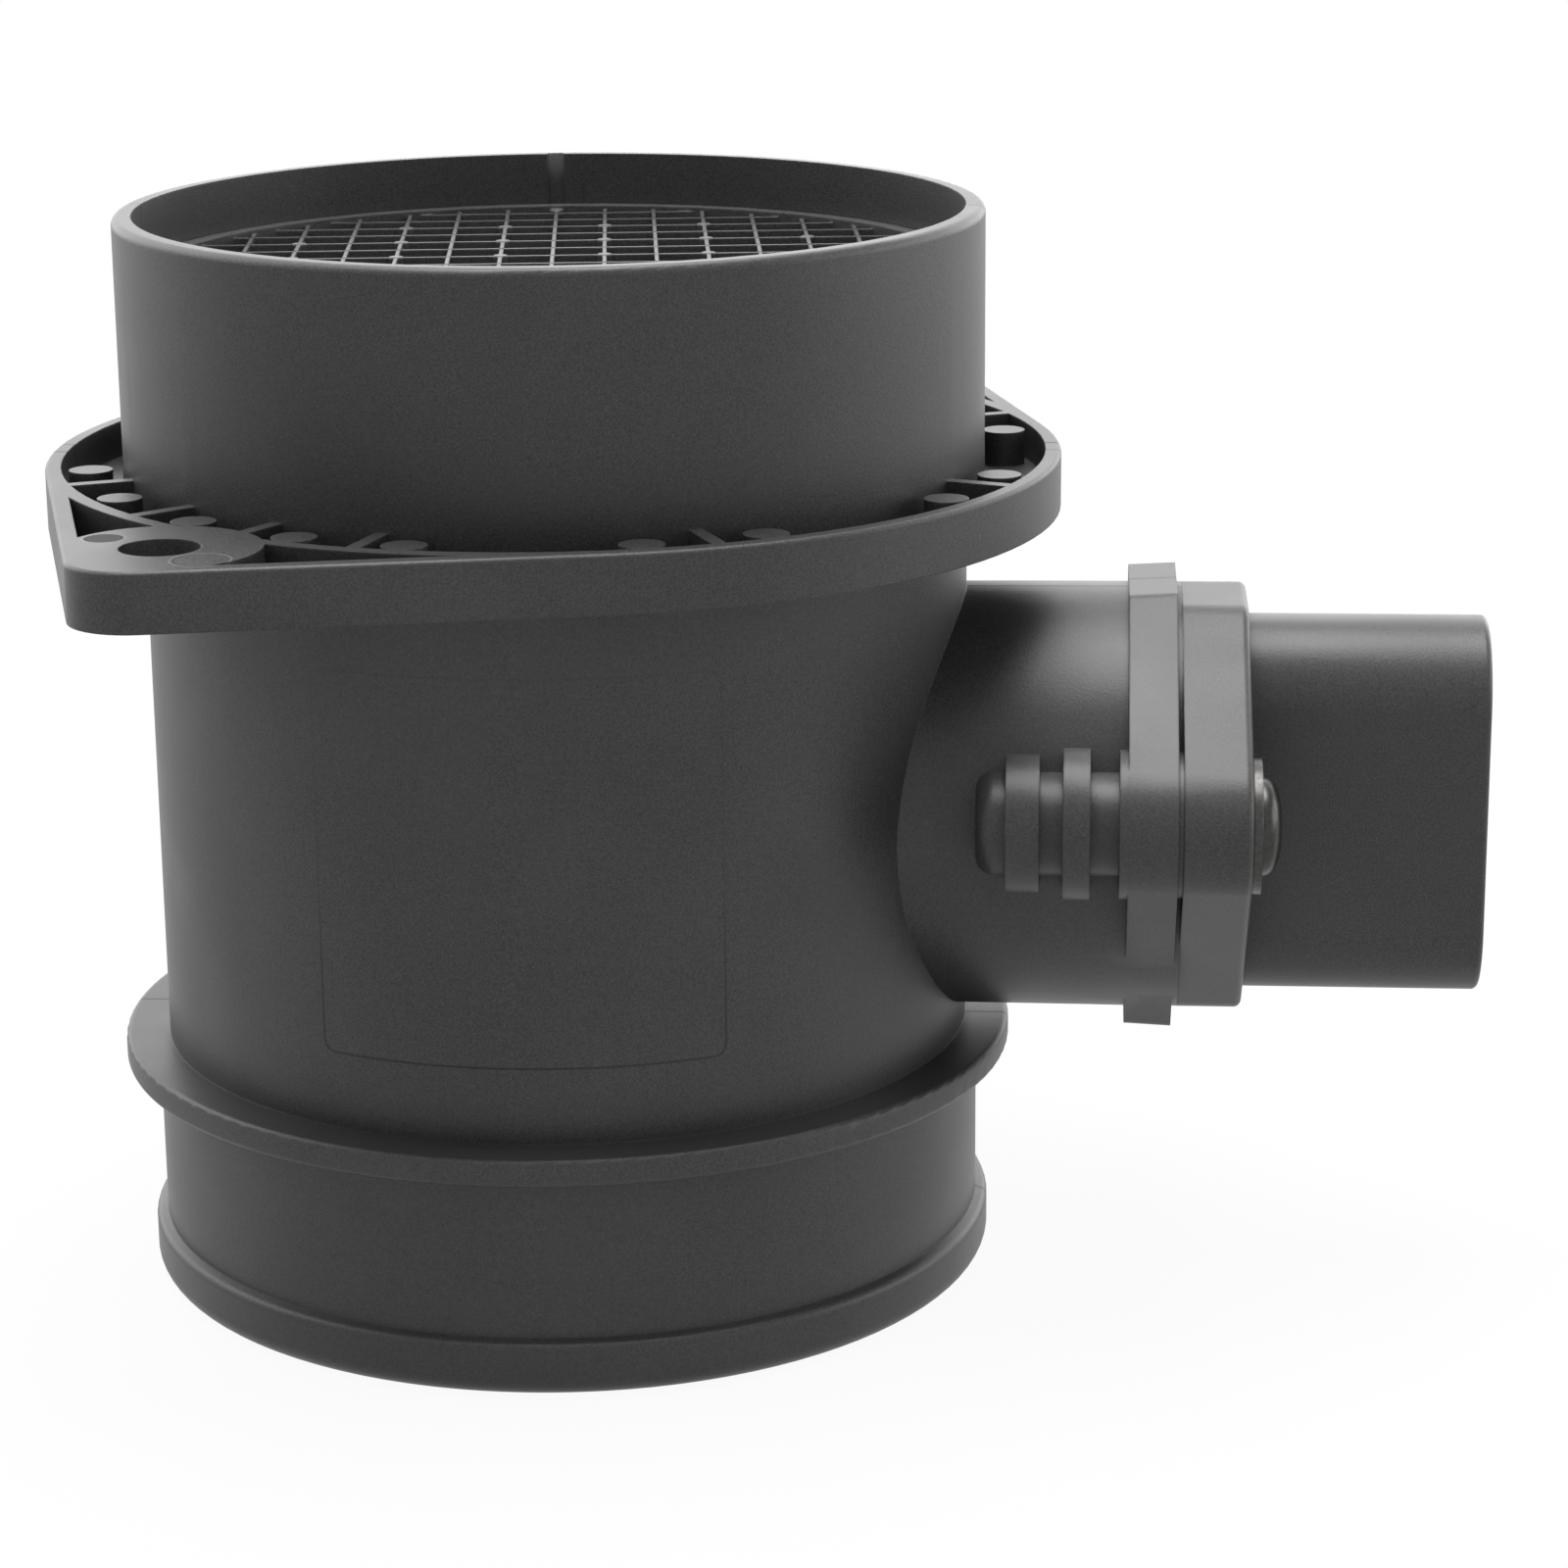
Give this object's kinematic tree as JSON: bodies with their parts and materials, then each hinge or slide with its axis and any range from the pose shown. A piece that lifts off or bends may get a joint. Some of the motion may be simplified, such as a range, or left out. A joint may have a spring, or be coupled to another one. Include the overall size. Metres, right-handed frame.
{
  "type": "mass airflow sensor",
  "caption": "Moulded flow tube with a two-bolt flange, hose spigots, a flow grid and a plug-in hot-film air mass sensor held by screws.",
  "frame": {"origin": "on the flow tube's axis, in the plane of its outlet end", "axes": "+Z along the tube's axis from outlet to inlet, +X along the sensor socket's axis towards the connector, +Y completes a right-handed frame"},
  "size_m": [0.1339, 0.1086, 0.101],
  "materials": {
    "housing_plastic": "fine-grained black moulding",
    "sensor_plastic": "fine-grained black moulding",
    "grid_plastic": "smooth dark grey moulding",
    "cover_plastic": "smooth black moulding",
    "seal_rubber": "smooth",
    "screw_steel": "dark plated",
    "washer_steel": "dark plated",
    "pin_metal": "tin plated",
    "plate_aluminium": "stamped",
    "board_ceramic": "fired ceramic with a coating",
    "chip_plastic": "moulded packages",
    "silicon": "polished",
    "wire_aluminium": "bright",
    "bead_glass": "glass coated",
    "lead_metal": "tinned"
  },
  "bodies": {
    "root": {"tube_housing": "housing_plastic", "flow_grid": "grid_plastic", "sensor_body": "sensor_plastic", "electronics_cover": "cover_plastic", "channel_cover": "cover_plastic", "seal_ring": "seal_rubber", "mounting_screws": "screw_steel", "screw_washers": "washer_steel", "connector_pin_1": "pin_metal", "connector_pin_2": "pin_metal", "connector_pin_3": "pin_metal", "connector_pin_4": "pin_metal", "connector_pin_5": "pin_metal", "base_plate": "plate_aluminium", "circuit_board": "board_ceramic", "board_chips": "chip_plastic", "sensing_chip": "silicon", "bond_wires": "wire_aluminium", "probe_bead": "bead_glass", "probe_leads": "lead_metal"}
  },
  "joints": []
}
